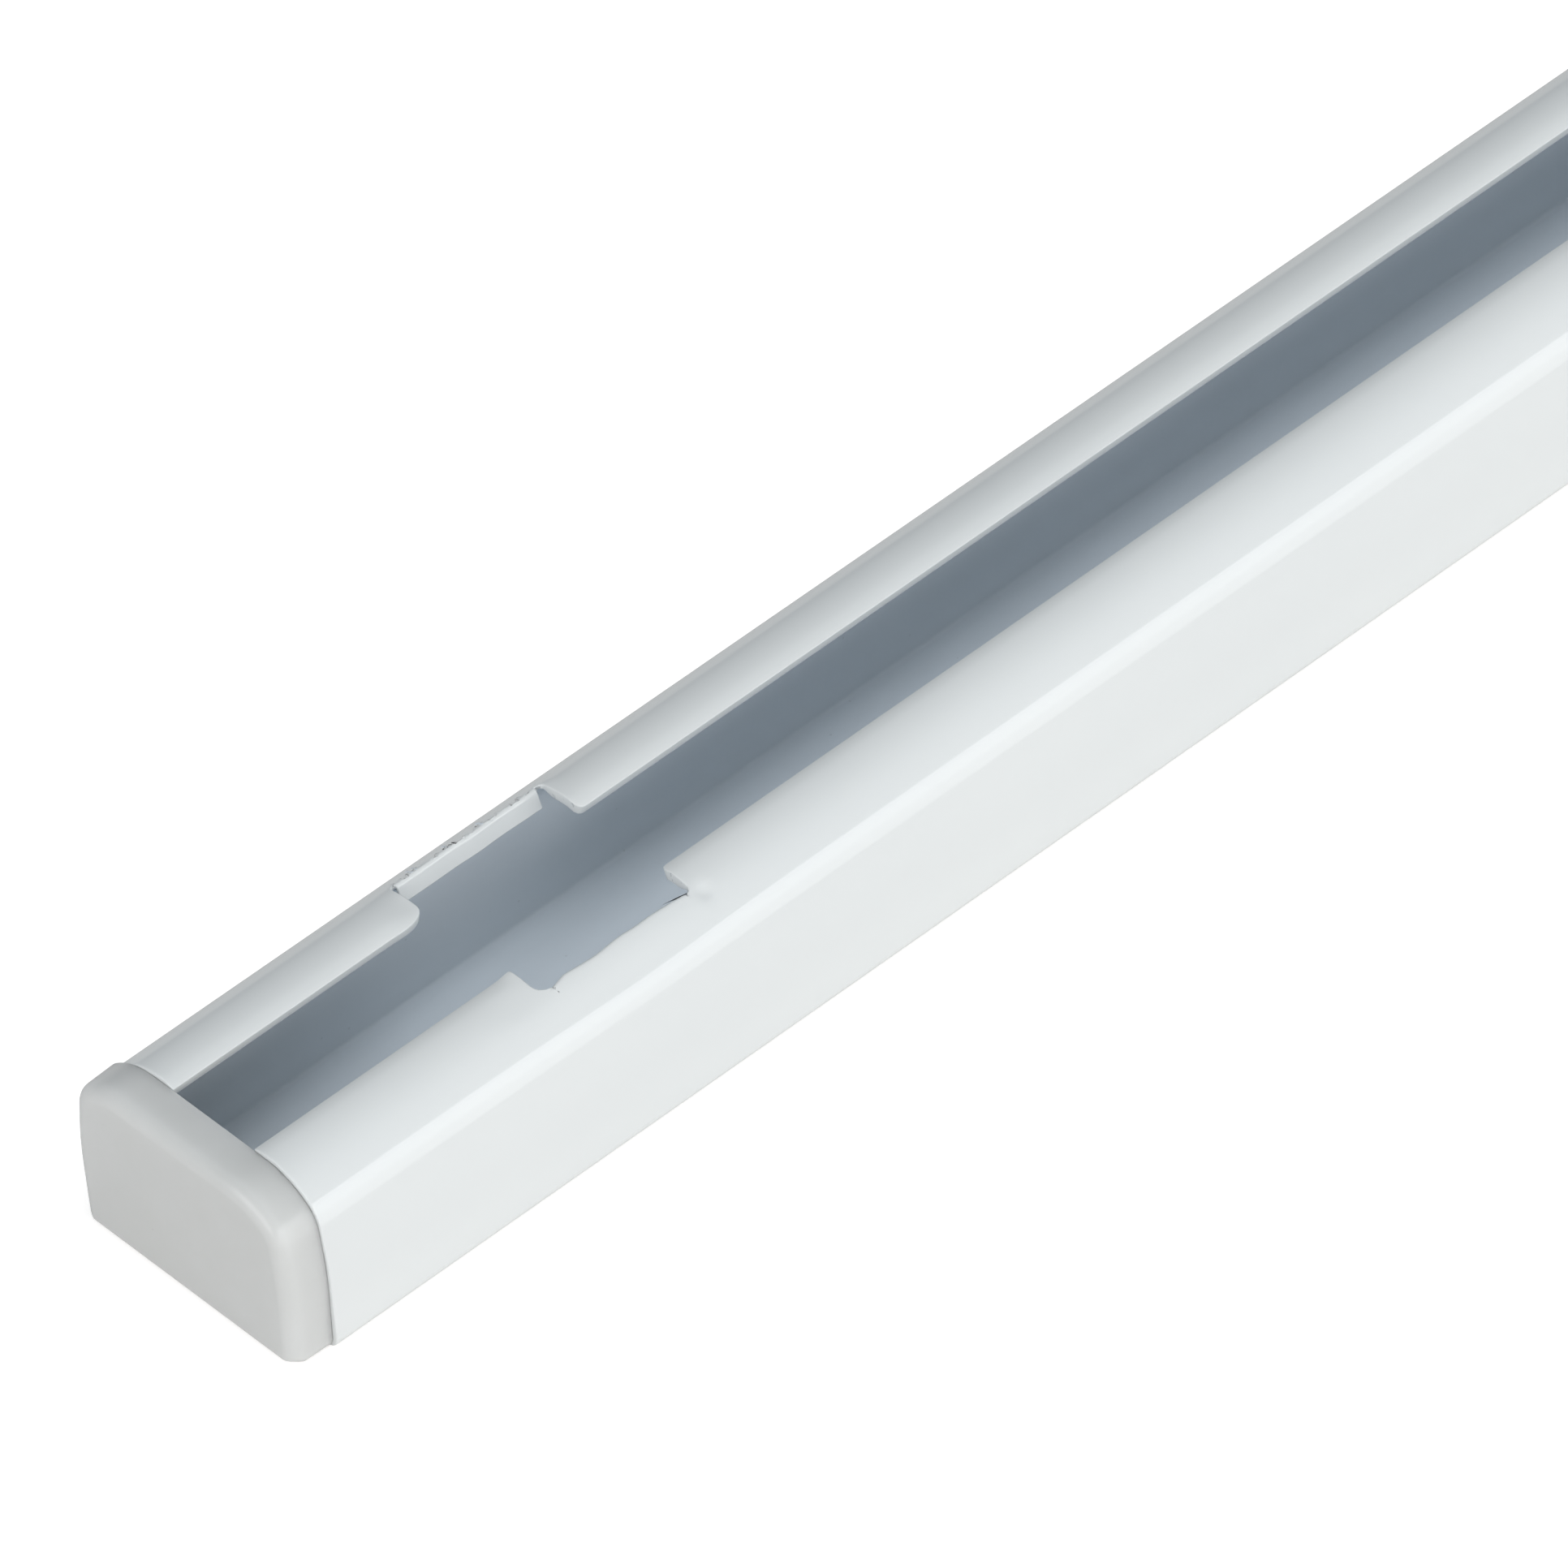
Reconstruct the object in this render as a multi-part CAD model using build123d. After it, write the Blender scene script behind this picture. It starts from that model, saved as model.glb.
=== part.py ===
from build123d import *
import math
import os

# A single curtain track, lying on its back with its runner slot upwards.
# X runs along the track from the end with the loading notch, Y across it, and Z up.
# The origin is the middle of the rail's underside. Sizes are millimetres and degrees.

# Rail: one strip of coated steel, roll-formed into a C
RAIL_LENGTH = 1000.0
RAIL_WIDTH = 16.0
RAIL_HEIGHT = 11.05
SHEET = 0.67
SLOT_WIDTH = 6.0
# The walls stand upright to the knee, then lean in towards the shoulder
KNEE_HEIGHT = 5.6
WALL_LEAN = 6.2
# The flange climbs from the shoulder, rounds a crown and dips again at its lip beside the slot
FLANGE_RISE = 39.0
LIP_DIP = 16.0
# Bend radii on the outside of the sheet; an outline moved inwards keeps at least the tightest
FLOOR_BEND = 0.9
KNEE_BEND = 25.0
SHOULDER_BEND = 2.2
CROWN_BEND = 4.4
LIP_BEND = 2.4
TIGHTEST_BEND = 0.1
LIP_BREAK = 0.15

# Loading notch: a window through both flanges, with its two long sides turned down
NOTCH_SETBACK = 17.1
NOTCH_LENGTH = 10.2
NOTCH_WIDTH = 10.3
NOTCH_CORNER = 0.8
FOLD_INNER = 0.05
RIM_DROP = 0.7
SHEAR_GAP = 0.25

# End cap: a moulded head that covers the rail's end, on a plug that fits inside it
HEAD_DEPTH = 2.5
HEAD_INSET = 0.1
HEAD_FOOT = 0.3
HEAD_DRAFT = 2.0
HEAD_EDGE = 0.85
PLUG_FIT = 0.05
PLUG_CORNER = 0.5
COLLAR_DEPTH = 2.4
COLLAR_WALL = 1.0
COLLAR_LEAD = 0.3
COLLAR_BEHIND_LIP = 0.4
TONGUE_LENGTH = 9.0
TONGUE_WIDTH = 4.8
TONGUE_HEIGHT = 2.6
TONGUE_WALL = 1.0
TONGUE_LEAD = 0.6

END_X = RAIL_LENGTH / 2


def along_track(section, first_x, length):
    """Extrudes a section, drawn as (Y, Z), along the track from first_x. A negative length goes back."""
    return extrude(Plane.YZ.offset(first_x) * section, length, dir=(1, 0, 0))


def moved_inwards(corners, distance):
    """The corners of a closed outline, listed counter-clockwise, once each side has moved inwards."""
    moved = []
    for before, corner, after in zip(corners[-1:] + corners[:-1], corners, corners[1:] + corners[:1]):
        first = (corner - before).normalized().rotate(Axis.Z, 90)
        second = (after - corner).normalized().rotate(Axis.Z, 90)
        moved.append(corner + (first + second) * (distance / (1 + first.dot(second))))
    return moved


def tangent(bend, angle):
    """How far a bend's arc reaches from its corner."""
    return bend * math.tan(math.radians(angle) / 2)


def lip_corner():
    """Distance from the middle to where the lip's dip meets the level of the crown."""
    return SLOT_WIDTH / 2 + tangent(LIP_BEND, LIP_DIP) * (1 + math.cos(math.radians(LIP_DIP)))


def right_side(foot=0.0):
    """One side's corners as (Y, Z, bend), from the floor to the crown. Its floor corner stands in by foot."""
    crown = lip_corner() + tangent(LIP_BEND, LIP_DIP) + tangent(CROWN_BEND, FLANGE_RISE)
    lean, rise = math.tan(math.radians(WALL_LEAN)), math.tan(math.radians(FLANGE_RISE))
    half_width = RAIL_WIDTH / 2
    # The shoulder's corner is where the leaning wall and the flange would meet
    shoulder = (half_width - lean * (RAIL_HEIGHT + rise * crown - KNEE_HEIGHT)) / (1 - lean * rise)
    return [
        (half_width - foot, 0, FLOOR_BEND),
        (half_width, KNEE_HEIGHT, KNEE_BEND),
        (shoulder, RAIL_HEIGHT - rise * (shoulder - crown), SHOULDER_BEND),
        (crown, RAIL_HEIGHT, CROWN_BEND),
    ]


def face_within(side, inset=0.0, least_bend=TIGHTEST_BEND):
    """The face within an outline given by one of its like sides, once it has moved inwards by inset."""
    closed = side + [(-y, z, bend) for y, z, bend in reversed(side) if y > 0]
    corners = moved_inwards([Vector(y, z) for y, z, bend in closed], inset)
    bends = [max(bend - inset, least_bend) for y, z, bend in closed]
    return make_face(FilletPolyline(*corners, radius=bends, close=True))


def outline(inset=0.0, least_bend=TIGHTEST_BEND):
    """The rail's outline, moved inwards by inset. The dips of its two lips meet over the slot."""
    lip = lip_corner()
    trough = RAIL_HEIGHT - lip * math.tan(math.radians(LIP_DIP))
    dip = [(lip, RAIL_HEIGHT, LIP_BEND), (0, trough, TIGHTEST_BEND)]
    return face_within(right_side() + dip, inset, least_bend)


def rail_section():
    """The sheet's section: the outline less the channel and the slot, with the slot's edges eased."""
    slot = Pos(0, RAIL_HEIGHT) * Rectangle(SLOT_WIDTH, RAIL_HEIGHT)
    section = outline() - outline(SHEET) - slot
    lips = [v for v in section.vertices() if abs(abs(v.X) - SLOT_WIDTH / 2) < SHEET / 10]
    return fillet(lips, LIP_BREAK)


def notch_fold():
    """One turned-down side of the notch, as (fold centre, outward normal, section of the rim)."""
    fold_outer = SHEET + FOLD_INNER
    edge = NOTCH_WIDTH / 2
    upright = Line((edge + fold_outer, RAIL_HEIGHT / 2), (edge + fold_outer, RAIL_HEIGHT))
    inside = outline(fold_outer) & upright
    centre = Vector(*inside.vertices().sort_by(Axis.Y)[-1])
    touching = outline().face().outer_wire().distance_to_with_closest_points(centre)[1]
    normal = (touching - centre).normalized()
    start = centre + normal * fold_outer
    turn = 180 - math.degrees(math.atan2(normal.Y, normal.X))
    outer = CenterArc(centre, fold_outer, 180 - turn, turn)
    inner = CenterArc(centre, FOLD_INNER, 180 - turn, turn)
    rim = make_face(
        [
            outer,
            Polyline(outer @ 1, outer @ 1 - (0, RIM_DROP), inner @ 1 - (0, RIM_DROP), inner @ 1),
            inner,
            Line(inner @ 0, start),
        ]
    )
    return centre, normal, rim


def notch_blank(centre, normal):
    """What the punch takes out of the flanges, with rounded corners where it meets the slot."""
    above = centre + normal * 3 * SHEET
    below = centre - normal * SHEET
    window = Polygon(
        (-above.X, above.Y),
        (-below.X, below.Y),
        (below.X, below.Y),
        (above.X, above.Y),
        align=None,
    )
    overrun = 2 * NOTCH_CORNER
    first_x = -END_X + NOTCH_SETBACK
    across = Rectangle(NOTCH_LENGTH, 2 * RAIL_WIDTH)
    plan = across + Rectangle(NOTCH_LENGTH + 2 * overrun, SLOT_WIDTH)
    corners = [v for v in plan.vertices() if abs(v.X) < NOTCH_LENGTH / 2 + NOTCH_CORNER / 2]
    corners = [v for v in corners if abs(v.Y) < RAIL_WIDTH / 2]
    plan = Pos(first_x + NOTCH_LENGTH / 2, 0) * fillet(corners, NOTCH_CORNER)
    blank = along_track(window, first_x - overrun, NOTCH_LENGTH + 2 * overrun)
    return blank & extrude(plan, 2 * RAIL_HEIGHT)


def make_rail():
    """The whole rail, with the loading notch near its first end."""
    rail = along_track(rail_section(), -END_X, RAIL_LENGTH)
    centre, normal, rim = notch_fold()
    rail -= notch_blank(centre, normal)
    first_x = -END_X + NOTCH_SETBACK + SHEAR_GAP
    turned_rim = along_track(rim, first_x, NOTCH_LENGTH - 2 * SHEAR_GAP)
    return rail + turned_rim + mirror(turned_rim, about=Plane.XZ)


def make_end_cap():
    """The cap that closes the rail's last end: head outside, open collar and tongue inside."""
    cover = face_within(right_side(HEAD_FOOT), HEAD_INSET)
    head = extrude(Plane.YZ.offset(END_X) * cover, HEAD_DEPTH, taper=HEAD_DRAFT)
    front = head.faces().sort_by(Axis.X)[-1]
    head = fillet(front.edges(), HEAD_EDGE)

    plug_outside = outline(SHEET + PLUG_FIT, PLUG_CORNER)
    plug_inside = outline(SHEET + PLUG_FIT + COLLAR_WALL)
    mouth = SLOT_WIDTH + 2 * COLLAR_BEHIND_LIP
    collar_section = plug_outside - plug_inside - Pos(0, RAIL_HEIGHT) * Rectangle(mouth, RAIL_HEIGHT)
    collar = along_track(collar_section, END_X, -COLLAR_DEPTH)
    collar_end = collar.faces().sort_by(Axis.X)[0]
    reach = Plane.YZ.offset(END_X - COLLAR_DEPTH) * plug_inside
    outside_edges = [e for e in collar_end.edges() if e.distance_to(reach) > COLLAR_WALL / 2]
    collar = chamfer(outside_edges, COLLAR_LEAD)

    plug_floor = SHEET + PLUG_FIT
    tongue_outside = Pos(0, plug_floor) * Rectangle(
        TONGUE_WIDTH, TONGUE_HEIGHT, align=(Align.CENTER, Align.MIN)
    )
    tongue_inside = Pos(0, plug_floor + TONGUE_WALL) * Rectangle(
        TONGUE_WIDTH - 2 * TONGUE_WALL, TONGUE_HEIGHT, align=(Align.CENTER, Align.MIN)
    )
    tongue = along_track(tongue_outside - tongue_inside, END_X, -TONGUE_LENGTH)
    tongue_end = tongue.faces().sort_by(Axis.X)[0]
    floor_edge = tongue_end.edges().sort_by(Axis.Z)[0]
    side_edges = tongue_end.edges().filter_by(Axis.Z).sort_by(Axis.Y)
    tongue = chamfer([floor_edge, side_edges[0], side_edges[-1]], TONGUE_LEAD)
    return head + collar + tongue


def main():
    os.makedirs("parts", exist_ok=True)
    cap = make_end_cap()
    nodes = {
        "rail": make_rail(),
        "end_cap_near": Rot(0, 0, 180) * cap,
        "end_cap_far": cap,
    }
    for name, shape in nodes.items():
        export_step(shape, os.path.join("parts", f"{name}.step"))


main()
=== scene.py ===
"""Looks of a single curtain track: a white coated steel rail with a loading notch, and two milky caps.

Lengths are metres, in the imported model's frame: X along the track, Y across it, Z out of the slot.
"""
import logging
import math
from collections.abc import Callable
from dataclasses import dataclass, field
from enum import Enum
from itertools import pairwise
from typing import NamedTuple

import bmesh
import bpy
from bmesh.types import BMEdge, BMesh, BMFace, BMVert
from bpy.types import Material, Node, NodeSocket, NodeTree, Object
from mathutils import Matrix, Vector, noise


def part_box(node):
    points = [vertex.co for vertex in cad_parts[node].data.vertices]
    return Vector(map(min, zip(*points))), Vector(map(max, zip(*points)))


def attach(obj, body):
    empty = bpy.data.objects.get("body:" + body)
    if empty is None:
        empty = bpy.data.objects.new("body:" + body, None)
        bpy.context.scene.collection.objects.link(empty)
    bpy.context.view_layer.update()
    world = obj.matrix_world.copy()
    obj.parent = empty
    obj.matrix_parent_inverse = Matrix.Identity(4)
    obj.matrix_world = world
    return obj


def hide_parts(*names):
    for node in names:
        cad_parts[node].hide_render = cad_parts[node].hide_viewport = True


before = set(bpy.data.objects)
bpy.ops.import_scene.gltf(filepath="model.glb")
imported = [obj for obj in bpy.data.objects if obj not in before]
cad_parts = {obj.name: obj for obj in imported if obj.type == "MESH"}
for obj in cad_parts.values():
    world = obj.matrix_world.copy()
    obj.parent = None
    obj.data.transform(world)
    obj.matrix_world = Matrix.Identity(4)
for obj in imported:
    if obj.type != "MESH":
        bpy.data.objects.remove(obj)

LOG = logging.getLogger("curtain_track")
MM = 0.001
# Places closer together than this count as one
TINY = 0.001 * MM
PHOTO_PIXELS = 1932
Triple = tuple[float, float, float]


def verts_of(geometry: list) -> list[BMVert]:
    """The vertices among a bmesh operator's results."""
    return [item for item in geometry if isinstance(item, BMVert)]


def edges_of(geometry: list) -> list[BMEdge]:
    """The edges among a bmesh operator's results."""
    return [item for item in geometry if isinstance(item, BMEdge)]


def extrude_chain(bm: BMesh, edges: list[BMEdge]) -> tuple[list[BMVert], list[BMEdge]]:
    """Extrudes a chain of edges, without moving it yet.

    Args:
        bm: The mesh.
        edges: The chain.

    Returns:
        The new chain's vertices and edges.
    """
    made = bmesh.ops.extrude_edge_only(bm, edges=edges)["geom"]
    fresh = set(verts_of(made))
    return list(fresh), [edge for edge in edges_of(made) if set(edge.verts) <= fresh]


def sweep(bm: BMesh, edges: list[BMEdge], stations: list[float]) -> None:
    """Extrudes a chain of edges along the track.

    Args:
        bm: The mesh.
        edges: The chain, at the first station.
        stations: Places along the track that it goes through.
    """
    for here, there in pairwise(stations):
        fresh, edges = extrude_chain(bm, edges)
        bmesh.ops.translate(bm, verts=fresh, vec=(there - here, 0, 0))


def mirror_across(bm: BMesh, geometry: list) -> None:
    """Adds the -Y side's copy of what stands on the +Y side, joined in the middle."""
    bmesh.ops.mirror(bm, geom=geometry, axis="Y", merge_dist=TINY)


def face_outwards(bm: BMesh, faces: list[BMFace]) -> None:
    """Turns an open skin's faces so that its lowest one faces down.

    Args:
        bm: The mesh.
        faces: The skin.
    """
    bmesh.ops.recalc_face_normals(bm, faces=faces)
    floor = min(faces, key=lambda face: face.calc_center_median().z)
    if floor.normal.z > 0:
        bmesh.ops.reverse_faces(bm, faces=faces)


def as_object(bm: BMesh, name: str) -> Object:
    """Turns a finished bmesh into a smooth-shaded object at the origin.

    Args:
        bm: The mesh, which is freed.
        name: The piece's name.

    Returns:
        The new object, linked to the scene.
    """
    mesh = bpy.data.meshes.new(name)
    bm.to_mesh(mesh)
    bm.free()
    mesh.shade_smooth()
    piece = bpy.data.objects.new(name, mesh)
    bpy.context.scene.collection.objects.link(piece)
    return piece


@dataclass(frozen=True)
class EdgeEase:
    """How a piece's sharp edges are rounded.

    Attributes:
        width: Width of the rounding.
        segments: How many strips it is made of.
        angle: The sharpest edge, in degrees, that stays as it is.
        clamped: Whether roundings stop short of each other.
    """

    width: float
    segments: int
    angle: float
    clamped: bool = True

    def apply(self, piece: Object) -> None:
        """Gives a piece the rounding, as a modifier."""
        ease = piece.modifiers.new("eased_edges", "BEVEL")
        ease.width = self.width
        ease.segments = self.segments
        ease.limit_method = "ANGLE"
        ease.angle_limit = math.radians(self.angle)
        ease.use_clamp_overlap = self.clamped


def steps_between(first: float, last: float, step: float) -> list[float]:
    """Places evenly spread over a length.

    Args:
        first: Where the length starts, which is left out.
        last: Where it ends, which is the last place.
        step: About how far apart they are.

    Returns:
        The places, in order.
    """
    count = max(1, round(abs(last - first) / step))
    return [first + (last - first) * index / count for index in range(1, count + 1)]


def height_at(surface: list[tuple[float, float]], across: float) -> float:
    """Reads a surface's height between two of its points.

    Args:
        surface: The surface, as sorted pairs of distance from the middle and height.
        across: Distance from the middle.

    Returns:
        The height there.
    """
    for (left, low), (right, high) in pairwise(surface):
        if left <= across <= right:
            return low + (high - low) * (across - left) / (right - left)
    return surface[-1][1]


@dataclass(frozen=True)
class Corner:
    """A corner of a folded line in the YZ plane, with its bend.

    Attributes:
        y: Place across the track.
        z: Height.
        radius: Bend radius, or 0 at an end of the line.
        pieces: How many straight pieces the bend is made of.
    """

    y: float
    z: float
    radius: float = 0.0
    pieces: int = 1

    @property
    def place(self) -> Vector:
        """The corner as a point of the YZ plane."""
        return Vector((0, self.y, self.z))


def with_directions(corners: list[Corner]) -> list[tuple[Corner, Vector, Vector]]:
    """Each inner corner of a line, with the directions of travel into it and out of it."""
    return [
        (corner, (corner.place - before.place).normalized(), (after.place - corner.place).normalized())
        for before, corner, after in zip(corners, corners[1:], corners[2:])
    ]


class FoldedLine:
    """A chain of edges across the track, drawn with straight runs and round bends."""

    def __init__(self, bm: BMesh, x: float, start: Corner) -> None:
        """Starts the chain.

        Args:
            bm: The mesh that takes the edges.
            x: Place along the track.
            start: The first end of the chain.
        """
        self.bm = bm
        self.tip = bm.verts.new((x, start.y, start.z))

    def run_to(self, target: Vector, longest: float) -> None:
        """Draws a straight run.

        Args:
            target: Where it ends, as a point of the YZ plane.
            longest: The longest step that it is drawn in.
        """
        way = Vector((self.tip.co.x, target.y, target.z)) - self.tip.co
        steps = math.ceil(way.length / longest - 0.001)
        for _ in range(steps):
            made = bmesh.ops.extrude_vert_indiv(self.bm, verts=[self.tip])
            self.tip = made["verts"][0]
            bmesh.ops.translate(self.bm, verts=[self.tip], vec=way / steps)

    def bend(self, corner: Corner, way_in: Vector, way_out: Vector) -> None:
        """Draws a corner's arc.

        Args:
            corner: The corner to go round.
            way_in: Direction of travel into the bend.
            way_out: Direction of travel out of it.
        """
        turn = math.atan2(way_in.cross(way_out).x, way_in.dot(way_out))
        inward = Vector((0, -way_in.z, way_in.y)) * math.copysign(corner.radius, turn)
        made = bmesh.ops.spin(
            self.bm,
            geom=[self.tip],
            cent=self.tip.co + inward,
            axis=(1, 0, 0),
            angle=turn,
            steps=corner.pieces,
            use_duplicate=False,
        )
        self.tip = verts_of(made["geom_last"])[0]

    def follow(self, corners: list[Corner], longest: float) -> None:
        """Draws the whole chain.

        Args:
            corners: Its corners, from its start to its end.
            longest: The longest step of its straight runs.
        """
        for corner, way_in, way_out in with_directions(corners):
            tangent = corner.radius * math.tan(way_in.angle(way_out) / 2)
            self.run_to(corner.place - way_in * tangent, longest)
            self.bend(corner, way_in, way_out)
        self.run_to(corners[-1].place, longest)


class Bend(NamedTuple):
    """A bend: its outside radius, and how many straight pieces it is made of."""

    radius: float
    pieces: int


@dataclass(frozen=True)
class Section:
    """The rail's section: one strip folded into a C.

    Attributes:
        width: Over the walls.
        height: From the back to the flanges' crest.
        sheet: Thickness of the coated sheet.
        slot: Width of the runner slot.
        knee: Height at which the upright walls start to lean in.
        lean: How far the upper walls lean in, in degrees.
        rise: How steeply the flanges climb from the shoulders, in degrees.
        curl: How far the lips curl down into the slot, in degrees.
        lip_bend, crown_bend, shoulder_bend, knee_bend, floor_bend: Its bends, from the slot to the back.
        flange_share: Share of the height above which there are only the flanges.
    """

    width: float
    height: float
    sheet: float = 0.67 * MM
    slot: float = 6.0 * MM
    knee: float = 5.6 * MM
    lean: float = 6.2
    rise: float = 39.0
    curl: float = 16.0
    lip_bend: Bend = Bend(2.4 * MM, 4)
    crown_bend: Bend = Bend(4.4 * MM, 14)
    shoulder_bend: Bend = Bend(2.2 * MM, 12)
    knee_bend: Bend = Bend(25.0 * MM, 4)
    floor_bend: Bend = Bend(0.9 * MM, 6)
    flange_share: float = 0.75

    @property
    def crest(self) -> float:
        """Distance from the middle to the corner between the lip and the crown."""
        curl = math.radians(self.curl)
        return self.slot / 2 + self.lip_bend.radius * math.tan(curl / 2) * (1 + math.cos(curl))

    @property
    def crown(self) -> float:
        """Distance from the middle to the corner between the crown and the sloping flange."""
        tangents = self.lip_bend.radius * math.tan(math.radians(self.curl) / 2)
        tangents += self.crown_bend.radius * math.tan(math.radians(self.rise) / 2)
        return self.crest + tangents

    @property
    def lip_height(self) -> float:
        """Height of the lips' upper edge."""
        return self.height - math.tan(math.radians(self.curl)) * (self.crest - self.slot / 2)

    @property
    def flange_floor(self) -> float:
        """A height that only the flanges are above."""
        return self.height * self.flange_share

    def corners(self) -> list[Corner]:
        """Works out the outside of the strip.

        Returns:
            Its corners on the +Y side, from the lip round to the middle of the back.
        """
        half = self.width / 2
        lean, rise = math.tan(math.radians(self.lean)), math.tan(math.radians(self.rise))
        shoulder = (half - lean * (self.height + rise * self.crown - self.knee)) / (1 - lean * rise)
        return [
            Corner(self.slot / 2, self.lip_height),
            Corner(self.crest, self.height, *self.lip_bend),
            Corner(self.crown, self.height, *self.crown_bend),
            Corner(shoulder, self.height - rise * (shoulder - self.crown), *self.shoulder_bend),
            Corner(half, self.knee, *self.knee_bend),
            Corner(half, 0, *self.floor_bend),
            Corner(0, 0),
        ]


class Side(Enum):
    """A flange of the rail, by the sign of Y."""

    NEAR = -1
    FAR = 1


class End(Enum):
    """An end of the notch or of the rail, by its direction from the middle."""

    START = -1
    FINISH = 1


@dataclass(frozen=True)
class Notch:
    """The loading notch: a window in both flanges, with its long sides turned down.

    Attributes:
        setback: From the rail's end to the notch.
        length: Along the track.
        near_fold: From the middle to the fold on the -Y side.
        far_fold: From the middle to the fold on the +Y side, where the punch stood off centre.
        fold_bend: Outside radius of the sharp fold.
        rim_drop: Straight part of the rims, under the fold.
        rim_lean: How far the rims stop short of upright, in degrees.
        rim_share: Thickness of the pressed rims, as a share of the sheet's.
        rim_pieces: How many strips the fold and the straight part are made of.
        shear_gap: Gap between a rim's end and the notch's end.
    """

    setback: float = 17.1 * MM
    length: float = 10.2 * MM
    near_fold: float = 5.3 * MM
    far_fold: float = 6.1 * MM
    fold_bend: float = 0.2 * MM
    rim_drop: float = 0.95 * MM
    rim_lean: float = 20.0
    rim_share: float = 0.3
    rim_pieces: tuple[int, int] = (4, 3)
    shear_gap: float = 0.08 * MM

    def fold(self, side: Side) -> float:
        """Distance from the middle to a side's fold."""
        return self.far_fold if side is Side.FAR else self.near_fold


@dataclass(frozen=True)
class Press:
    """A place where the punch pressed a flange down or left it raised.

    Attributes:
        side: The flange.
        along: Place along the track, from the rail's end.
        across: Distance from the middle.
        reach: How far it spreads along and across the track.
        lift: How far the sheet is raised, negative where it is pressed down.
    """

    side: Side
    along: float
    across: float
    reach: tuple[float, float]
    lift: float

    def lift_at(self, along: float, across: float) -> float:
        """How far the sheet is raised at a place on this flange."""
        away = ((along - self.along) / self.reach[0]) ** 2 + ((across - self.across) / self.reach[1]) ** 2
        return self.lift * math.exp(-away)


@dataclass(frozen=True)
class LipCorner:
    """A rounded outer corner, where the notch's end meets the slot.

    Attributes:
        side: The flange.
        end: The end of the notch.
        along: Length of the rounding on the lip.
        across: Its depth on the notch's end.
        spread: Up to how many times that depth the flange gives way behind it.
    """

    side: Side
    end: End
    along: float
    across: float
    spread: float = 2.5

    def moved(self, away: float, from_lip: float) -> float:
        """Moves a place of the flange behind the rounding.

        Args:
            away: Its distance from the notch's end, into the flange.
            from_lip: Its distance from the lip's straight line.

        Returns:
            Its new distance from that line.
        """
        reach = self.spread * self.across
        if not -TINY <= away < self.along or from_lip >= reach:
            return from_lip
        depth = self.across * (1 - math.sqrt(max(0.0, 1 - (1 - away / self.along) ** 2)))
        return depth + from_lip * (reach - depth) / reach


@dataclass(frozen=True)
class InnerCorner:
    """A rounded inner corner, where the notch's end meets a turned-down rim.

    Attributes:
        side: The flange.
        end: The end of the notch.
        radius: Radius of the rounding.
        spread: Over how many radii it fades outwards and along the track.
    """

    side: Side
    end: End
    radius: float
    spread: tuple[float, float] = (1.5, 2.5)

    def filled(self, away: float, past_fold: float) -> float:
        """How far the sheet reaches into the notch at a place.

        Args:
            away: Distance from the notch's end, into the flange.
            past_fold: Distance outwards from the fold's line.

        Returns:
            The reach along the track, 0 away from the corner.
        """
        inwards = 1 + past_fold / self.radius
        if inwards <= 0:
            return 0.0
        bulge = 1 - math.sqrt(max(0.0, 1 - inwards**2))
        if inwards > 1:
            bulge = max(0.0, 1 - past_fold / (self.spread[0] * self.radius))
        return self.radius * bulge * max(0.0, 1 - abs(away) / (self.spread[1] * self.radius))


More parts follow.
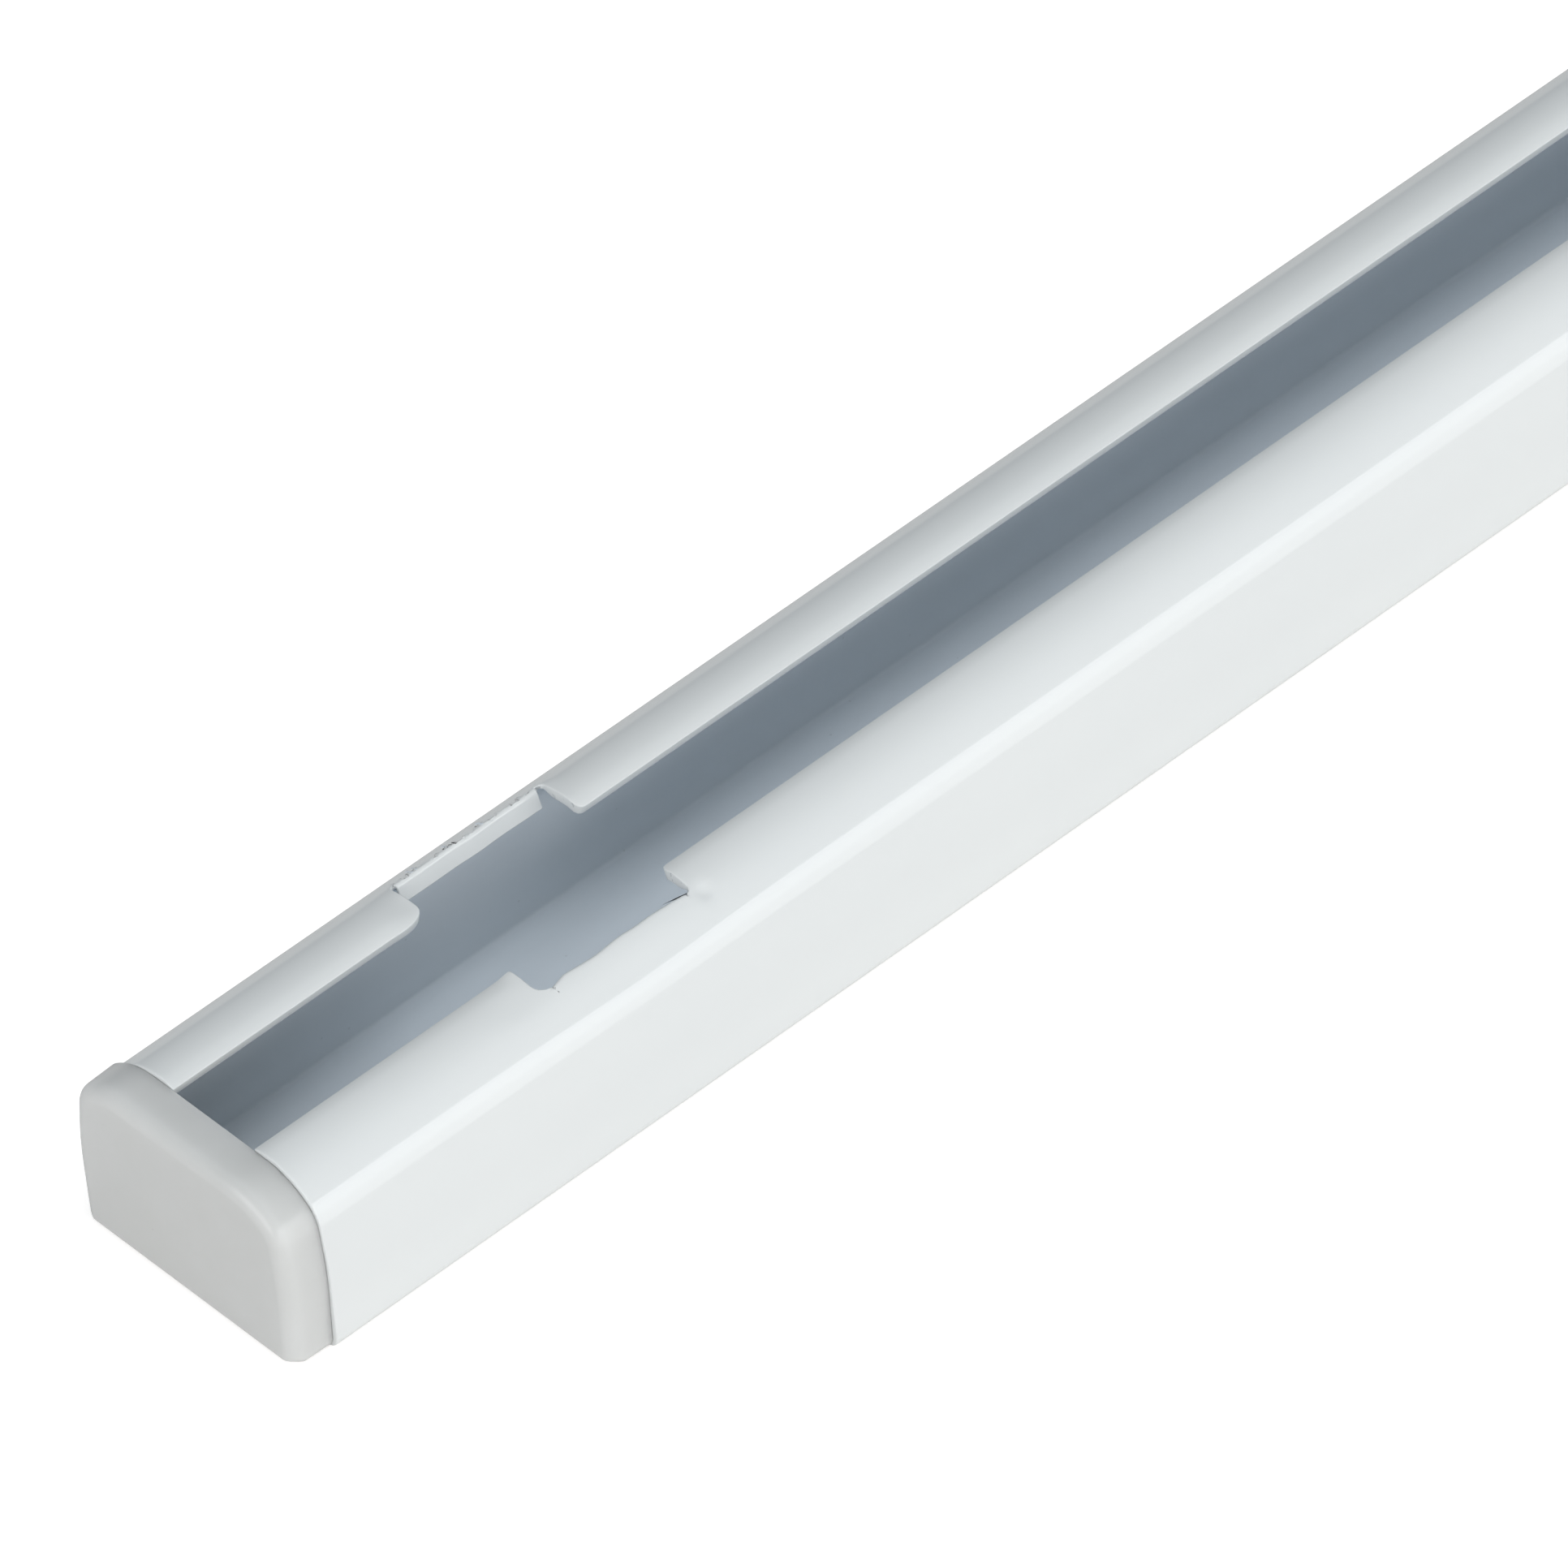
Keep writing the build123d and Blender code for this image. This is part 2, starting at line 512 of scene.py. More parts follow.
@dataclass(frozen=True)
class PunchMarks:
    """What the punch left round the notch.

    Attributes:
        lip_corners: The rounded outer corners.
        inner_corners: The rounded inner corners.
        presses: Dents and raised places.
        worked_share: Share of the rail's height above which the sheet is pressed.
        sway: How far the folds wander from a straight line, near and far.
        sway_scale: How often they do, in waves for each metre.
        sway_fade: From a rim's ends, over how long the wandering grows.
        near_turn_in: Share of the fold's radius that the near rim's ends are set back.
        tooth: Depth of the far crease's teeth, where the coating broke.
        tooth_scale: How often they come, for each metre.
        tooth_fade: From a rim's ends, over how long they grow.
        thinned: How far out from the fold the sheet is pressed thin.
        thinned_ends: The same beyond the notch's ends: across the track and along it.
    """

    lip_corners: tuple[LipCorner, ...] = (
        LipCorner(Side.FAR, End.START, 1.8 * MM, 0.85 * MM),
        LipCorner(Side.FAR, End.FINISH, 0.45 * MM, 0.4 * MM),
        LipCorner(Side.NEAR, End.START, 0.1 * MM, 0.1 * MM),
        LipCorner(Side.NEAR, End.FINISH, 0.35 * MM, 0.3 * MM),
    )
    inner_corners: tuple[InnerCorner, ...] = (
        InnerCorner(Side.NEAR, End.START, 0.8 * MM),
        InnerCorner(Side.NEAR, End.FINISH, 0.3 * MM),
        InnerCorner(Side.FAR, End.START, 0.35 * MM),
        InnerCorner(Side.FAR, End.FINISH, 0.3 * MM),
    )
    presses: tuple[Press, ...] = (
        Press(Side.NEAR, 17.1 * MM, 3.0 * MM, (0.6 * MM, 0.6 * MM), 0.14 * MM),
        Press(Side.NEAR, 16.0 * MM, 5.0 * MM, (1.6 * MM, 0.8 * MM), -0.07 * MM),
        Press(Side.NEAR, 27.8 * MM, 5.7 * MM, (0.45 * MM, 0.4 * MM), -0.15 * MM),
        Press(Side.NEAR, 22.0 * MM, 7.0 * MM, (6.5 * MM, 0.8 * MM), -0.16 * MM),
        Press(Side.FAR, 17.1 * MM, 4.0 * MM, (1.3 * MM, 1.3 * MM), -0.22 * MM),
        Press(Side.FAR, 27.6 * MM, 5.9 * MM, (0.7 * MM, 0.7 * MM), 0.08 * MM),
    )
    worked_share: float = 0.7
    sway: tuple[float, float] = (0.13 * MM, 0.08 * MM)
    sway_scale: float = 550
    sway_fade: float = 0.9 * MM
    near_turn_in: float = 0.7
    tooth: float = 0.42 * MM
    tooth_scale: float = 3100
    tooth_fade: float = 0.6 * MM
    thinned: float = 1.2 * MM
    thinned_ends: tuple[float, float] = (0.5 * MM, 0.6 * MM)


@dataclass(frozen=True)
class SawnEnd:
    """How the saw left the rail's notched end: its depth, and how often it rises for each metre."""

    rough: float = 0.02 * MM
    scale: float = 900


@dataclass(frozen=True)
class Spacing:
    """How far apart the strip's edges are.

    Attributes:
        fine: At the notch.
        even: Around the notch, and across the flat back and walls.
        coarse: Along the rest of the track.
        ends: At the notched end and at the other one.
        fine_margin: How far the fine part goes on beyond the notch.
        even_margin: How far the even part goes on after that.
        end_margin: How long each end is.
    """

    fine: float = 0.13 * MM
    even: float = 1.2 * MM
    coarse: float = 25 * MM
    ends: tuple[float, float] = (0.2 * MM, 0.25 * MM)
    fine_margin: float = 4 * MM
    even_margin: float = 12 * MM
    end_margin: float = 1 * MM


@dataclass
class Rail:
    """The roll-formed rail, from its sheet to its finish.

    Attributes:
        node: The CAD node that it stands for, which gives its size.
        notch: Its loading notch.
        marks: What the punch left.
        sawn: What the saw left.
        spacing: How far apart its edges are.
        ease: How its sharp edges are rounded.
        low, high: The corners of its node's box.
        section: Its section.
    """

    node: str
    notch: Notch = Notch()
    marks: PunchMarks = PunchMarks()
    sawn: SawnEnd = SawnEnd()
    spacing: Spacing = Spacing()
    ease: EdgeEase = EdgeEase(0.07 * MM, 3, 50, clamped=False)
    low: Vector = field(init=False)
    high: Vector = field(init=False)
    section: Section = field(init=False)

    def __post_init__(self) -> None:
        """Takes the rail's size from its node in the frame."""
        self.low, self.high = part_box(self.node)
        self.section = Section(self.high.y - self.low.y, self.high.z - self.low.z)

    def end_x(self, end: End) -> float:
        """Where an end of the rail is along the track."""
        return self.low.x if end is End.START else self.high.x

    def notch_x(self, end: End) -> float:
        """Where an end of the notch is along the track."""
        return self.low.x + self.notch.setback + (self.notch.length if end is End.FINISH else 0.0)

    def stations(self) -> list[float]:
        """Chooses where along the track the strip has edges: close together at the ends and the notch.

        Returns:
            The places, from the notched end to the other.
        """
        gap, spacing = self.notch.shear_gap, self.spacing
        start, finish = self.notch_x(End.START), self.notch_x(End.FINISH)
        stops = (
            (self.low.x + spacing.end_margin, spacing.ends[0]),
            (start - spacing.fine_margin, spacing.even),
            (start, spacing.fine),
            (start + gap, spacing.fine),
            (finish - gap, spacing.fine),
            (finish, spacing.fine),
            (finish + spacing.fine_margin, spacing.fine),
            (finish + spacing.fine_margin + spacing.even_margin, spacing.even),
            (self.high.x - spacing.end_margin, spacing.coarse),
            (self.high.x, spacing.ends[1]),
        )
        stations = [self.low.x]
        for stop, step in stops:
            stations += steps_between(stations[-1], stop, step)
        return stations

    def strip(self) -> BMesh:
        """Makes the outside skin of the folded strip, before it is punched.

        Returns:
            The skin, facing outwards.
        """
        bm = bmesh.new()
        corners = self.section.corners()
        stations = self.stations()
        FoldedLine(bm, stations[0], corners[0]).follow(corners, self.spacing.even)
        mirror_across(bm, list(bm.verts) + list(bm.edges))
        sweep(bm, list(bm.edges), stations)
        face_outwards(bm, list(bm.faces))
        return bm

    def fold_line(self, side: Side) -> tuple[Vector, Vector]:
        """Finds where a side of the notch starts to turn down.

        Args:
            side: The flange.

        Returns:
            The point on the surface and the surface's outward direction there, both with Y taken as positive.
        """
        bend = self.section.crown_bend.radius
        centre_y = self.section.crown - bend * math.tan(math.radians(self.section.rise) / 2)
        tilt = math.asin((self.notch.fold(side) - centre_y) / bend)
        outward = Vector((0, math.sin(tilt), math.cos(tilt)))
        return Vector((0, centre_y, self.section.height - bend)) + outward * bend, outward

    def punch(self, bm: BMesh) -> None:
        """Cuts the window, rounds its corners and turns its long sides down."""
        for side in Side:
            upper = [face for face in bm.faces if face.calc_center_median().z > self.section.flange_floor]
            geometry = set(upper)
            for face in upper:
                geometry.update(face.verts)
                geometry.update(face.edges)
            fold = (0, side.value * self.notch.fold(side), 0)
            bmesh.ops.bisect_plane(bm, geom=list(geometry), dist=TINY, plane_co=fold, plane_no=(0, 1, 0))
        window = []
        for face in bm.faces:
            middle = face.calc_center_median()
            in_length = self.notch_x(End.START) < middle.x < self.notch_x(End.FINISH)
            in_width = -self.notch.near_fold < middle.y < self.notch.far_fold
            if in_length and in_width and middle.z > self.section.height / 2:
                window.append(face)
        bmesh.ops.delete(bm, geom=window, context="FACES")
        folds = {side: self.fold_edges(bm, side) for side in Side}
        self.round_corners(bm)
        self.press(bm)
        for side, edges in folds.items():
            self.turn_rim(bm, side, edges)

    def flange_heights(self, bm: BMesh) -> list[tuple[float, float]]:
        """Reads the flange's surface at the rail's end.

        Args:
            bm: The punched strip.

        Returns:
            Pairs of distance from the middle and height, from the lip outwards.
        """
        flange = []
        for vert in bm.verts:
            if vert.co.x == self.low.x and vert.co.y > 0 and vert.co.z > self.section.flange_floor:
                flange.append((vert.co.y, vert.co.z))
        return sorted(flange)

    def fold_edges(self, bm: BMesh, side: Side) -> list[BMEdge]:
        """Finds the window's edges that a rim hangs from.

        Args:
            bm: The punched strip.
            side: The flange.

        Returns:
            The edges, without those of the shear gaps at both ends.
        """
        point, _ = self.fold_line(side)
        beside, above = 0.02 * MM, 0.1 * MM
        gap = self.notch.shear_gap - 0.01 * MM
        start, finish = self.notch_x(End.START) + gap, self.notch_x(End.FINISH) - gap
        edges = []
        for edge in bm.edges:
            middle = (edge.verts[0].co + edge.verts[1].co) / 2
            on_line = abs(middle.y - side.value * point.y) < beside and abs(middle.z - point.z) < above
            if edge.is_boundary and on_line and start < middle.x < finish:
                edges.append(edge)
        return edges

    def round_corners(self, bm: BMesh) -> None:
        """Rounds the corners of the window."""
        flange = self.flange_heights(bm)
        half_slot = self.section.slot / 2
        for vert in bm.verts:
            if vert.co.z < self.section.flange_floor:
                continue
            side = Side.FAR if vert.co.y > 0 else Side.NEAR
            across, along = abs(vert.co.y), vert.co.x
            for corner in self.marks.inner_corners:
                if corner.side is side:
                    away = (vert.co.x - self.notch_x(corner.end)) * corner.end.value
                    along -= corner.end.value * corner.filled(away, across - self.notch.fold(side))
            from_lip = across - half_slot
            moved = from_lip
            for corner in self.marks.lip_corners:
                if corner.side is side:
                    away = (vert.co.x - self.notch_x(corner.end)) * corner.end.value
                    moved = corner.moved(away, moved)
            if moved != from_lip:
                vert.co.z = height_at(flange, half_slot + moved)
                vert.co.y = side.value * (half_slot + moved)
            vert.co.x = along

    def press(self, bm: BMesh) -> None:
        """Presses and raises the sheet round the window, and roughens the sawn end."""
        for vert in bm.verts:
            if vert.co.x == self.low.x:
                rise = noise.noise(Vector((0, vert.co.y, vert.co.z)) * self.sawn.scale)
                vert.co.x += self.sawn.rough * (1 + rise)
            if vert.co.z < self.section.height * self.marks.worked_share:
                continue
            side = Side.FAR if vert.co.y > 0 else Side.NEAR
            along, across = vert.co.x - self.low.x, abs(vert.co.y)
            for mark in self.marks.presses:
                if mark.side is side:
                    vert.co.z += mark.lift_at(along, across)

    def turn_rim(self, bm: BMesh, side: Side, edges: list[BMEdge]) -> None:
        """Folds one rim down from the window's edge.

        Args:
            bm: The punched strip.
            side: The flange.
            edges: The edges that the rim hangs from.
        """
        fold = {vert for edge in edges for vert in edge.verts}
        rest = set(bm.verts) - fold
        for edge in edges:
            edge.smooth = side is Side.NEAR
        point, outward = self.fold_line(side)
        centre = point - outward * self.notch.fold_bend
        lean = math.radians(self.notch.rim_lean)
        fold_steps, drop_steps = self.notch.rim_pieces
        made = bmesh.ops.spin(
            bm,
            geom=edges,
            cent=(0, side.value * centre.y, centre.z),
            axis=(1, 0, 0),
            angle=side.value * (math.pi / 2 + math.atan2(outward.y, outward.z) - lean),
            steps=fold_steps,
            use_duplicate=False,
        )
        edges = edges_of(made["geom_last"])
        down = Vector((0, -side.value * math.sin(lean), -math.cos(lean))) * self.notch.rim_drop
        for _ in range(drop_steps):
            fresh, edges = extrude_chain(bm, edges)
            bmesh.ops.translate(bm, verts=fresh, vec=down / drop_steps)
        rim = [vert for vert in bm.verts if vert not in rest]
        self.wear_rim(bm, side, fold, rim)

    def wear_rim(self, bm: BMesh, side: Side, fold: set[BMVert], rim: list[BMVert]) -> None:
        """Bends a rim off its straight line, and roughens the far fold, where the coating broke.

        Args:
            bm: The punched strip.
            side: The flange.
            fold: The vertices that the rim hangs from.
            rim: Those and the rim's own.
        """
        marks = self.marks
        crease = bm.verts.layers.float["crease"]
        _, outward = self.fold_line(side)
        slope = outward.y / outward.z
        first, last = min(vert.co.x for vert in fold), max(vert.co.x for vert in fold)
        sway = marks.sway[0] if side is Side.NEAR else marks.sway[1]
        for vert in rim:
            inside = min(1.0, min(vert.co.x - first, last - vert.co.x) / marks.sway_fade)
            wave = noise.noise(Vector((vert.co.x * marks.sway_scale, side.value * 3.1, 4)))
            shift = sway * inside * wave
            if side is Side.NEAR:
                shift += marks.near_turn_in * self.notch.fold_bend * (1 - inside)
            vert.co += Vector((0, side.value * shift, -shift * slope))
        for vert in fold:
            vert[crease] = 1.0 if side is Side.FAR else 0.0
            if side is Side.FAR:
                inside = min(1.0, min(vert.co.x - first, last - vert.co.x) / marks.tooth_fade)
                wave = noise.noise(Vector((vert.co.x * marks.tooth_scale, 7.3, 0)))
                shift = marks.tooth * inside * wave
                vert.co += Vector((0, shift, -shift * slope))

    def sheet_share(self, place: Vector) -> float:
        """Works out how thick the sheet is, as the rims are pressed thin.

        Args:
            place: A place on the strip.

        Returns:
            Its thickness there, as a share of the full one.
        """
        if place.z < self.section.height * self.marks.worked_share:
            return 1.0
        past_fold = abs(place.y) - self.notch.fold(Side.FAR if place.y > 0 else Side.NEAR)
        gap = self.notch.shear_gap / 2
        start, finish = self.notch_x(End.START) + gap, self.notch_x(End.FINISH) - gap
        beyond = max(start - place.x, place.x - finish, 0.0)
        if beyond == 0:
            near = max(0.0, 1 - max(0.0, past_fold) / self.marks.thinned)
        else:
            across, along = self.marks.thinned_ends
            near = math.exp(-((past_fold / across) ** 2)) * max(0.0, 1 - beyond / along)
        return 1 - (1 - self.notch.rim_share) * near

    def mark_cuts(self, bm: BMesh) -> None:
        """Marks the sheet's cut edges at the notch and at the sawn ends, for the finish."""
        cut_edge = bm.verts.layers.float["cut_edge"]
        near = 0.1 * MM
        start, finish = self.notch_x(End.START) - near, self.notch_x(End.FINISH) + near
        for vert in bm.verts:
            if vert.is_boundary:
                at_end = vert.co.x < self.low.x + near or vert.co.x > self.high.x - TINY
                if at_end or start < vert.co.x < finish:
                    vert[cut_edge] = 1.0

    def build(self) -> Object:
        """Makes the rail's mesh and gives it its thickness and eased edges.

        Returns:
            The piece. Its outside takes the first material, and the inside of the sheet the second.
        """
        bm = self.strip()
        bm.verts.layers.float.new("cut_edge")
        bm.verts.layers.float.new("crease")
        self.punch(bm)
        self.mark_cuts(bm)
        piece = as_object(bm, "coated_rail")
        piece.data.materials.append(CoatedSteel().material())
        # The inside of the sheet takes a blue-tinted colour: painted shade for the shaded channel.
        piece.data.materials.append(InsideFinishWithBlueShade().material())
        sheet = piece.vertex_groups.new(name="sheet")
        for vert in piece.data.vertices:
            sheet.add([vert.index], self.sheet_share(vert.co), "REPLACE")
        wall = piece.modifiers.new("thickness", "SOLIDIFY")
        wall.vertex_group = sheet.name
        wall.thickness = self.section.sheet
        wall.offset = -1
        wall.use_even_offset = False
        wall.use_rim = True
        wall.material_offset = 1
        self.ease.apply(piece)
        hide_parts(self.node)
        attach(piece, "rail")
        return piece


@dataclass(frozen=True)
class Moulding:
    """Sizes of an end cap.

    Attributes:
        depth: Of the head, along the track.
        inset: How far the head stands in from the rail's outside.
        foot: How much more it stands in at the floor.
        stretch: How much wider and lower the moulding came out than the rail's outline.
        draft: Taper of the head towards its front, in degrees.
        edge: Radius of its front edge.
        edge_steps: How many strips that edge is made of.
        sole: How far the head stands off the floor, and how much its underside rises towards the front.
        back_edge: Radius of the edge that meets the sheet.
        border: Width of the narrow border round the head's flat ends, which keeps them flat.
        shift: How far the head sits off the rail's middle, towards +Y.
        fit: Play between the plug and the sheet.
        plug_bend: The collar's tightest bend.
        collar_depth: How far the collar reaches into the rail.
        collar_mouth: At most half the width of the gap in the collar, under the slot.
        mouth_margin: How far the collar's flat top goes on past its bend, at least.
        root: How far the collar and the tongue reach into the head.
        wall: Thickness of the collar and the tongue.
        tongue: Length, width and height of the tongue along the floor.
        tongue_bend: Radius of the tongue's lower corners.
        ease: How its sharp edges are rounded.
    """

    depth: float = 2.55 * MM
    inset: float = 0.1 * MM
    foot: float = 0.2 * MM
    stretch: tuple[float, float] = (1.0335, 0.989)
    draft: float = 2.0
    edge: float = 0.85 * MM
    edge_steps: int = 9
    sole: tuple[float, float] = (0.02 * MM, 0.5 * MM)
    back_edge: float = 0.04 * MM
    border: float = 0.02 * MM
    shift: float = 0.0
    fit: float = 0.05 * MM
    plug_bend: float = 0.5 * MM
    collar_depth: float = 2.4 * MM
    collar_mouth: float = 4.6 * MM
    mouth_margin: float = 0.05 * MM
    root: float = 0.3 * MM
    wall: float = 1.0 * MM
    tongue: Triple = (9.0 * MM, 4.8 * MM, 2.6 * MM)
    tongue_bend: float = 0.3 * MM
    ease: EdgeEase = EdgeEase(0.1 * MM, 2, 65)


@dataclass(frozen=True)
class EndCap:
    """A moulded cap that closes one end of the rail.

    Attributes:
        rail: The rail that it closes.
        end: START for the notched end, FINISH for the other.
        node: The CAD node that it stands for.
        body: The body that it rides on.
        sizes: Its sizes.
    """

    rail: Rail
    end: End
    node: str
    body: str
    sizes: Moulding = Moulding()

    def x_at(self, depth: float) -> float:
        """A place along the track, from its distance outwards from the rail's end."""
        return self.rail.end_x(self.end) + self.end.value * depth

    def half_outline(self, inset: float, foot: float, least_bend: float) -> list[Corner]:
        """Works out the rail's outline with a flat top, moved inwards.

        Args:
            inset: How far each side moves inwards.
            foot: How much narrower each side stands on the floor.
            least_bend: The tightest bend.

        Returns:
            The corners on the +Y side, from the top's middle round to the floor's.
        """
        height = self.rail.section.height
        *upper, floor = self.rail.section.corners()[2:-1]
        floor = Corner(floor.y - foot, 0, floor.radius, floor.pieces)
        moved = [Corner(0, height - inset)]
        for corner, way_in, way_out in with_directions([Corner(0, height), *upper, floor, Corner(0, 0)]):
            inwards = Vector((0, way_in.z, -way_in.y)) + Vector((0, way_out.z, -way_out.y))
            place = corner.place + inwards * inset / (1 + way_in.dot(way_out))
            moved.append(Corner(place.y, place.z, max(corner.radius - inset, least_bend), corner.pieces))
        return [*moved, Corner(0, inset)]

    def ring(self, bm: BMesh, depth: float, inset: float) -> None:
        """Draws half of the head's outline at a distance from the rail's end.

        Args:
            bm: An empty mesh.
            depth: Distance outwards along the track.
            inset: How far the outline moves inwards there.
        """
        sizes = self.sizes
        *corners, foot, _ = self.half_outline(sizes.inset + inset, sizes.foot, sizes.back_edge)
        height, rise = sizes.sole
        height += rise * max(0.0, 1 - (sizes.depth - depth) / sizes.edge)
        corners += [Corner(foot.y, height, foot.radius, foot.pieces), Corner(0, height)]
        FoldedLine(bm, self.x_at(depth), corners[0]).follow(corners, self.rail.section.width)

    def ring_places(self, depth: float, inset: float) -> list[Vector]:
        """Where the vertices of such an outline stand, in order."""
        bm = bmesh.new()
        self.ring(bm, depth, inset)
        places = [vert.co.copy() for vert in bm.verts]
        bm.free()
        return places

    def ring_sizes(self) -> list[tuple[float, float]]:
        """Works out the head's rounding and taper, from the sheet to the front.

        Returns:
            Pairs of distance from the rail's end and how far the outline moves inwards there.
        """
        sizes = self.sizes
        back = sizes.back_edge
        rings = [(0.0, back), (0.3 * back, 0.3 * back), (back, 0.0)]
        for index in range(sizes.edge_steps + 1):
            turn = math.pi / 2 * index / sizes.edge_steps
            depth = sizes.depth - sizes.edge + sizes.edge * math.sin(turn)
            rings.append((depth, sizes.edge * (1 - math.cos(turn))))
        taper = math.tan(math.radians(sizes.draft))
        return [(depth, inset + depth * taper) for depth, inset in rings]

    def head(self, bm: BMesh) -> None:
        """Makes the head: a tapered block of the rail's outline with a rounded front edge."""
        sizes = self.sizes
        first, *others = self.ring_sizes()
        self.ring(bm, *first)
        row, edges = list(bm.verts), list(bm.edges)
        for depth, inset in others:
            fresh, edges = extrude_chain(bm, edges)
            grown = set(fresh)
            row = [
                next(edge.other_vert(vert) for edge in vert.link_edges if edge.other_vert(vert) in grown)
                for vert in row
            ]
            for vert, place in zip(row, self.ring_places(depth, inset)):
                vert.co = place
        mirror_across(bm, list(bm.verts) + list(bm.edges) + list(bm.faces))
        for x in (self.x_at(0), self.x_at(sizes.depth)):
            loop = [edge for edge in bm.edges if edge.is_boundary and abs(edge.verts[0].co.x - x) < TINY]
            filled = bmesh.ops.edgeloop_fill(bm, edges=loop)["faces"]
            bmesh.ops.inset_individual(bm, faces=filled, thickness=sizes.border)
        lowest, front = sum(sizes.sole) + TINY, self.x_at(sizes.depth)
        for edge in bm.edges:
            if all(vert.co.z < lowest and abs(vert.co.x - front) < TINY for vert in edge.verts):
                edge.smooth = False
        bmesh.ops.scale(bm, verts=list(bm.verts), vec=(1, *sizes.stretch))
        bmesh.ops.translate(bm, verts=list(bm.verts), vec=(0, sizes.shift, 0))

    def channel(self, bm: BMesh, corners: list[Corner], reach: float, lengths: int) -> None:
        """Adds a thin-walled channel that reaches from inside the head into the rail.

        Args:
            bm: The cap's mesh.
            corners: Its outside, on the +Y side, ending in the middle.
            reach: How far it goes into the rail.
            lengths: Into how many lengths it is divided.
        """
        root, tip = self.x_at(self.sizes.root), self.x_at(-reach)
        edges_before, faces_before = set(bm.edges), set(bm.faces)
        FoldedLine(bm, root, corners[0]).follow(corners, 2 * MM)
        half = [edge for edge in bm.edges if edge not in edges_before]
        mirror_across(bm, list({vert for edge in half for vert in edge.verts}) + half)
        whole = [edge for edge in bm.edges if edge not in edges_before]
        sweep(bm, whole, [root, *steps_between(root, tip, abs(tip - root) / lengths)])
        skin = [face for face in bm.faces if face not in faces_before]
        face_outwards(bm, skin)
        bmesh.ops.solidify(bm, geom=skin, thickness=self.sizes.wall)

    def build(self, material: Material) -> Object:
        """Makes the cap: its head, and the collar and tongue that hold it in the rail.

        Args:
            material: Its plastic.

        Returns:
            The piece.
        """
        sizes, section = self.sizes, self.rail.section
        bm = bmesh.new()
        self.head(bm)
        play = section.sheet + sizes.fit
        top, crown, *others = self.half_outline(play, 0.0, sizes.plug_bend)
        arc_start = crown.y - crown.radius * math.tan(math.radians(section.rise) / 2)
        mouth = min(sizes.collar_mouth, arc_start - sizes.mouth_margin)
        self.channel(bm, [Corner(mouth, top.z), crown, *others], sizes.collar_depth, 2)
        length, width, height = sizes.tongue
        side, floor = width / 2, play
        bend = Corner(side, floor, sizes.tongue_bend, 4)
        self.channel(bm, [Corner(side, floor + height), bend, Corner(0, floor)], length, 5)
        bmesh.ops.recalc_face_normals(bm, faces=list(bm.faces))
        piece = as_object(bm, self.body + "_moulding")
        piece.data.materials.append(material)
        sizes.ease.apply(piece)
        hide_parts(self.node)
        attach(piece, self.body)
        return piece


class Wiring:
    """Adds nodes to a node tree and joins them."""

    def __init__(self, tree: NodeTree) -> None:
        """Works on one tree."""
        self.tree = tree

    def add(
        self,
        kind: str,
        inputs: dict[str | int, object] | None = None,
        settings: dict[str, object] | None = None,
    ) -> Node:
        """Adds a node.

        Args:
            kind: The node's type, without the word ShaderNode.
            inputs: A value or another node's output for each input, by its name or place.
            settings: Values of the node's own settings.

        Returns:
            The new node.
        """
        node = self.tree.nodes.new("ShaderNode" + kind)
        for name, value in (settings or {}).items():
            setattr(node, name, value)
        self.join(node, inputs or {})
        return node

    def join(self, node: Node, inputs: dict[str | int, object]) -> None:
        """Gives a node's inputs their values, or links them to other nodes' outputs.

        Args:
            node: The node.
            inputs: A value or an output for each input, by its name or place.
        """
        for key, value in inputs.items():
            if isinstance(value, NodeSocket):
                self.tree.links.new(value, node.inputs[key])
            else:
                node.inputs[key].default_value = value

    def math(self, operation: str, first: object, second: object = 0.0) -> NodeSocket:
        """The result of a sum on two values or outputs."""
        return self.add("Math", {0: first, 1: second}, {"operation": operation}).outputs[0]

    def ramp(self, value: object, low: float, high: float, first: object, last: object) -> NodeSocket:
        """Turns low to high into first to last, held at both ends."""
        inputs = {"Value": value, "From Min": low, "From Max": high, "To Min": first, "To Max": last}
        return self.add("MapRange", inputs).outputs[0]

    def mix(
        self, mask: object, first: tuple[float, ...] | NodeSocket, last: tuple[float, ...]
    ) -> NodeSocket:
        """Mixes a second colour over a first one.

        Args:
            mask: Where the second one shows.
            first: The colour below, or its output.
            last: The colour above.

        Returns:
            The mixed colour's output.
        """
        node = self.add("Mix", {0: mask}, {"data_type": "RGBA"})
        below = first if isinstance(first, NodeSocket) else (*first, 1.0)
        self.join(node, {6: below, 7: (*last, 1.0)})
        return node.outputs[2]

    def attribute(self, name: str) -> NodeSocket:
        """A mask that is kept on the mesh."""
        return self.add("Attribute", settings={"attribute_name": name}).outputs["Fac"]


